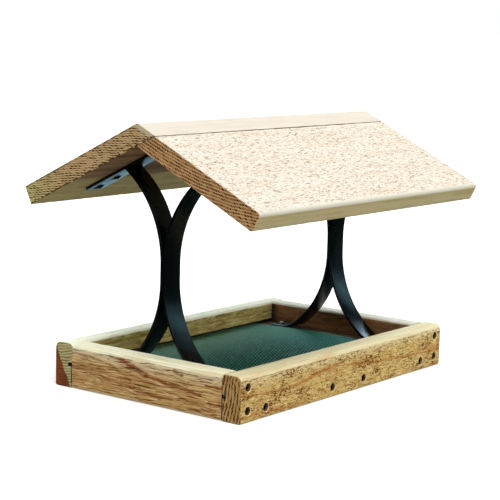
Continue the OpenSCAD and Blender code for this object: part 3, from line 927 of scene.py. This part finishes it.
def flat_bar(name, faces_path, x_middle, side, node, coat):
    """A bar whose two broad faces follow pairs of (y, z) points, with rolled edges."""
    half = BAR_WIDE / 2
    edge = EDGE_R / BAR_THICK
    corner = [(cos(radians(a)), sin(radians(a))) for a in (0, 30, 60, 90)]
    around = []
    for sign_w, sign_t, turn in ((1, 1, 1), (-1, 1, -1), (-1, -1, 1), (1, -1, -1)):
        for c, s in corner[::turn]:
            around.append((sign_w * (half - EDGE_R + EDGE_R * c), 0.5 + sign_t * (0.5 - edge + edge * s)))
    points = [
        (x_middle + wide, side * (y0 + (y1 - y0) * deep), z0 + (z1 - z0) * deep)
        for (y0, z0), (y1, z1) in faces_path
        for wide, deep in around]
    bar = new_piece(name, points, closed_tube(len(around), len(faces_path)), coat, 50)
    join_frame(bar, node)


def bend(centre, radii, starts, ends, steps):
    """Pairs of points on the outer and the inner face of a bend."""
    outer, inner = (arc(centre, r, start, end, steps) for r, start, end in zip(radii, starts, ends))
    return list(zip(outer, inner))


def leg_path():
    """Face pairs of a back leg from the foot's end to the cut under the bracket."""
    path = [
        ((FOOT_START + FOOT_LONG * f, SLAT_THICK), (FOOT_START + FOOT_LONG * f, SLAT_THICK + BAR_THICK))
        for f in (1, 0.5)]
    turn = degrees(LOWER_TURN)
    foot_radii = (FOOT_BEND_R, FOOT_BEND_R - BAR_THICK)
    bow_radii = (BOW_R, BOW_R - BAR_THICK)
    path += bend((FOOT_START, FOOT_BEND_Z), foot_radii, (270, 270), (180 + turn, 180 + turn), BEND_STEPS)
    path += bend((BOW_R, WAIST_Z), bow_radii, (180 + turn, 180 + turn), (180, 180), BOW_STEPS)[1:]
    path.append(((0, WAIST_Z + WAIST_LONG / 2), (BAR_THICK, WAIST_Z + WAIST_LONG / 2)))
    cuts = [180 - cut_turn(radius) for radius in bow_radii]
    return path + bend((BOW_R, WAIST_Z + WAIST_LONG), bow_radii, (180, 180), cuts, BOW_STEPS)


def cut_turn(radius):
    """Degrees that a face of the upper bow turns before it meets the bracket's underside."""
    low, high = 0.0, 80.0
    for _ in range(40):
        middle = (low + high) / 2
        a = radians(middle)
        rise = WAIST_Z + WAIST_LONG + radius * sin(a)
        over = rise + (BOW_R - radius * cos(a)) * tan(ROOF_PITCH) - UNDER_BRACKET
        low, high = (low, middle) if over > 0 else (middle, high)
    return low


def bracket_path():
    """Face pairs of a roof bracket, from the end of one arm over the fold to the other."""
    outer = FOLD_R + BAR_THICK
    start = outer * tan(ROOF_PITCH)
    centre = (0, UNDER_BRACKET - FOLD_R / PITCH_COS)
    down = (PITCH_SIN, PITCH_COS)

    def arm(reach, side):
        top = (reach * PITCH_COS, UNDER_BOARDS - reach * PITCH_SIN)
        low = (top[0] - BAR_THICK * down[0], top[1] - BAR_THICK * down[1])
        return (side * top[0], top[1]), (side * low[0], low[1])

    reaches = [start + (BRACKET_ARM - start) * i / ARM_STEPS for i in range(ARM_STEPS + 1)]
    left, right = 90 + degrees(ROOF_PITCH), 90 - degrees(ROOF_PITCH)
    fold = bend(centre, (outer, FOLD_R), (left, left), (right, right), FOLD_STEPS)
    return [arm(r, -1) for r in reversed(reaches)] + fold[1:-1] + [arm(r, 1) for r in reaches]


def make_supports():
    leg = leg_path()
    bracket = bracket_path()
    for x_name, x_side in (("left", -1), ("right", 1)):
        x = x_side * SUPPORT_X
        node = f"{x_name}_roof_bracket"
        flat_bar(node + "_bar", bracket, x, 1, node, BRACKET_COAT)
        for y_name, y_side in (("front", -1), ("back", 1)):
            node = f"{x_name}_{y_name}_leg"
            flat_bar(node + "_bar", leg, x, y_side, node, BLACK_COAT)


# Screws

SCREW_SIDES = 24
THREAD_PITCH = 0.0024
THREAD_STEPS = 5
THREAD_DEEP = 0.00045
NECK_LONG = 0.003
RAIL_SCREW = (0.004, 0.0021, 0.042)
BRACKET_SCREW = (0.0038, 0.0018, 0.019)
FOOT_SCREW = (0.0038, 0.0018, 0.0127)


def screw_rings(head_r, shank_r, long):
    """Rings of a screw from its point to the bottom of its square drive."""
    head_high = head_r * 0.6
    dome_r = head_r * 1.6

    def dome(radius):
        return head_high - dome_r + sqrt(dome_r ** 2 - radius ** 2)

    rings = []
    turns = [2 * pi * i / SCREW_SIDES for i in range(SCREW_SIDES)]
    steps = int((long - NECK_LONG) / THREAD_PITCH * THREAD_STEPS)
    for k in range(steps + 1):
        height = -long + (long - NECK_LONG) * k / steps
        taper = min(1.0, 0.25 + 0.75 * (height + long) / (3 * shank_r))
        for i, a in enumerate(turns):
            wave = (height / THREAD_PITCH - i / SCREW_SIDES) % 1
            radius = (shank_r - THREAD_DEEP * min(1.0, abs(wave - 0.5) * 3.2)) * taper
            rings.append((radius * cos(a), radius * sin(a), height))
    rim = dome(head_r)
    plain = [
        (shank_r, -NECK_LONG * 0.8), (shank_r, 0), (head_r - 0.0002, 0), (head_r, 0.0002),
        (head_r, rim - 0.0001)]
    plain += [(head_r * f, dome(head_r * f)) for f in (0.97, 0.9, 0.8, 0.68, 0.56)]
    for radius, height in plain:
        rings += turned_ring(radius, height, SCREW_SIDES)
    drive = head_r / 4
    for radius, depth in ((drive + 0.00012, 0), (drive, 0.00015), (drive * 0.92, 0.001)):
        for a in turns:
            reach = radius / max(abs(cos(a)), abs(sin(a)))
            top = dome(reach) if depth == 0 else head_high - depth
            rings.append((reach * cos(a), reach * sin(a), min(top, dome(reach))))
    return rings


def make_screws(node, size, seats, coat=SCREW_COAT):
    """A group of like screws. Each seat is a point, the direction that its head faces, and a turn."""
    rings = screw_rings(*size)
    points, faces = [], []
    for place, facing, turn in seats:
        facing_turn = Vector(facing).to_track_quat("Z", "Y").to_matrix() @ Matrix.Rotation(turn, 3, "Z")
        faces += closed_tube(SCREW_SIDES, len(rings) // SCREW_SIDES, len(points))
        points += [facing_turn @ Vector(p) + Vector(place) for p in rings]
    join_frame(new_piece(node + "_driven", points, faces, coat, 40), node)


def make_all_screws():
    """Every screw is turned a little differently, as driven screws are."""
    for name, side in (("front", -1), ("back", 1)):
        seat_y = side * (TRAY_HALF_WIDTH - RECESS_DEEP)
        for kind, places in (("corner", RAIL_SCREWS), ("floor", FLOOR_SCREWS)):
            seats = [((x, seat_y, z), (0, side, 0), 0.6 + 1.7 * i) for i, (x, z) in enumerate(places)]
            make_screws(f"{name}_{kind}_screws", RAIL_SCREW, seats)
    foot_y = FOOT_START + FOOT_LONG / 2
    for name, side in (("left", -1), ("right", 1)):
        x = side * SUPPORT_X
        seats = [((x, y, SLAT_THICK + BAR_THICK), (0, 0, 1), 0.4 + y * 9) for y in (-foot_y, foot_y)]
        make_screws(f"{name}_foot_screws", FOOT_SCREW, seats)
        seats = []
        for y_side in (-1, 1):
            facing = (0, -y_side * PITCH_SIN, -PITCH_COS)
            for reach in BRACKET_SCREW_PLACES:
                y = reach * PITCH_COS - BAR_THICK * PITCH_SIN
                z = UNDER_BOARDS - reach * PITCH_SIN - BAR_THICK * PITCH_COS
                seats.append(((x, y_side * y, z), facing, reach * 30))
        make_screws(f"{name}_bracket_screws", BRACKET_SCREW, seats, DULL_SCREW_COAT)


# Screen

YARN_PITCH = 0.0028
YARN_WIDE = 0.0017
SCREEN_CROWN = 0.0028


def screen_height(x, y):
    """How far the screen stands off the boards: a crown between the grooves, and shallow ripples."""
    across = np.cos(pi / 2 * y / screen_high.y) ** 2
    ripple = 0.1 * np.sin(x * 41 + 0.6) + 0.08 * np.sin(x * 23 - y * 17)
    return SCREEN_CROWN * across * (0.86 + ripple)


def make_yarns(name, run, cross, along_x, phase):
    """Yarns laid side by side along one axis, each over and under the yarns that cross it."""
    high = SCREEN_THICK / 4
    strand, knot = np.meshgrid(np.arange(len(run)), np.arange(len(cross)), indexing="ij")
    side_place = np.array(run)[strand]
    along_place = np.array(cross)[knot]
    x, y = (along_place, side_place) if along_x else (side_place, along_place)
    lift = np.where((strand + knot + phase) % 2 == 0, high, -high)
    middle = screen_low.z + 2 * high + lift + screen_height(x, y)
    points = []
    for wide, tall in ((1, 0), (0, 1), (-1, 0), (0, -1)):
        aside = wide * YARN_WIDE / 2
        px, py = (x, y + aside) if along_x else (x + aside, y)
        points.append(np.stack([px, py, middle + tall * high], axis=-1))
    points = np.stack(points, axis=2).reshape(-1, 3)
    faces = []
    for s in range(len(run)):
        faces += closed_tube(4, len(cross), s * len(cross) * 4)
    join_frame(new_piece(name, points, faces, SCREEN_VINYL, 100), "floor_screen")


def make_screen():
    def places(half):
        count = int(2 * (half - YARN_WIDE / 2) / YARN_PITCH)
        return [(i - count / 2) * YARN_PITCH for i in range(count + 1)]

    across, along = places(screen_high.y), places(screen_high.x)
    make_yarns("screen_long_yarns", across, along, True, 0)
    make_yarns("screen_cross_yarns", along, across, False, 1)


# Floor, world and lights

FLOOR_REACH = 60
FLOOR_SIDES = 48


def make_floor():
    """A pale floor, white to the eye. In the coated bars it shows sky-blue behind and dark in front."""
    material, nodes, shader = new_material("pale_floor")
    path = nodes.outputs(nodes.add("LightPath"))
    seen, mirrored = path["Is Camera Ray"], path["Is Glossy Ray"]
    x, y, _ = nodes.point().parts()
    behind = y.fit(-0.05, 0.3) * x.fit(-0.35, -0.05)
    reflected = nodes.mix(behind, (0.05, 0.07, 0.075), (0.53, 0.94, 1.12))
    colour = nodes.mix(seen, (0.42, 0.4, 0.36), (0.9, 0.9, 0.9))
    nodes.fill(shader, {
        "Base Color": nodes.mix(mirrored, colour, (0, 0, 0)),
        "Emission Color": nodes.mix(seen, reflected, (0.25, 0.25, 0.25)),
        "Emission Strength": nodes.math("MAXIMUM", seen, mirrored),
        "Roughness": 0.9, "Specular IOR Level": 0.0})
    mesh = bpy.data.meshes.new("floor")
    mesh.from_pydata(turned_ring(FLOOR_REACH, 0, FLOOR_SIDES), [], [tuple(range(FLOOR_SIDES))])
    mesh.materials.append(material)
    new_object("floor", mesh)


def make_world():
    """A white studio: plain white to the camera, lighter behind the feeder for the light that it gives,
    and two bluish windows on the right for what the coated bars reflect."""
    scene.world = bpy.data.worlds.new("studio")
    nodes = empty_nodes(scene.world)
    path = nodes.outputs(nodes.add("LightPath"))
    way = nodes.outputs(nodes.add("TexCoord"))["Generated"]
    _, y, z = way.parts()
    beyond = way.dot((0.79, 0.61, 0)).fit(-0.2, 0.6)
    lit = nodes.mix(beyond, (0.38, 0.4, 0.42), (1.2, 1.24, 1.28))
    low_window = z.fit(0.1, 0.22) * z.fit(0.47, 0.35) * y.fit(-0.15, -0.35)
    high_window = z.fit(0.5, 0.58) * y.fit(-0.25, -0.02)
    mirrored = nodes.mix(beyond, (0.02, 0.03, 0.04), (0.03, 0.035, 0.035))
    mirrored.lay(low_window, (1.12, 2.05, 2.35))
    mirrored.lay(high_window, (7.0, 9.5, 11.5))
    colour = nodes.mix(path["Is Glossy Ray"], lit, mirrored)
    colour.lay(path["Is Camera Ray"], (1, 1, 1))
    light = nodes.add("Background", {"Color": colour, "Strength": 1.0})
    nodes.add("OutputWorld", {"Surface": Wire(nodes, light.outputs[0])})


def add_sun(name, from_point, strength, spread, colour):
    data = bpy.data.lights.new(name, "SUN")
    data.energy = strength
    data.angle = radians(spread)
    data.color = colour
    sun = new_object(name, data)
    sun.rotation_mode = "QUATERNION"
    sun.rotation_quaternion = Vector(from_point).to_track_quat("Z", "Y")


add_camera()
make_rails()
make_cross_boards()
make_roof_boards()
make_supports()
make_all_screws()
make_screen()
make_floor()
make_world()
add_sun("overhead", (-0.14, -0.36, 0.93), 2.0, 50, (1.0, 0.98, 0.94))
add_sun("front", (-0.35, -0.85, 0.4), 0.95, 40, (1.0, 0.99, 0.96))
scene.view_settings.view_transform = "Standard"
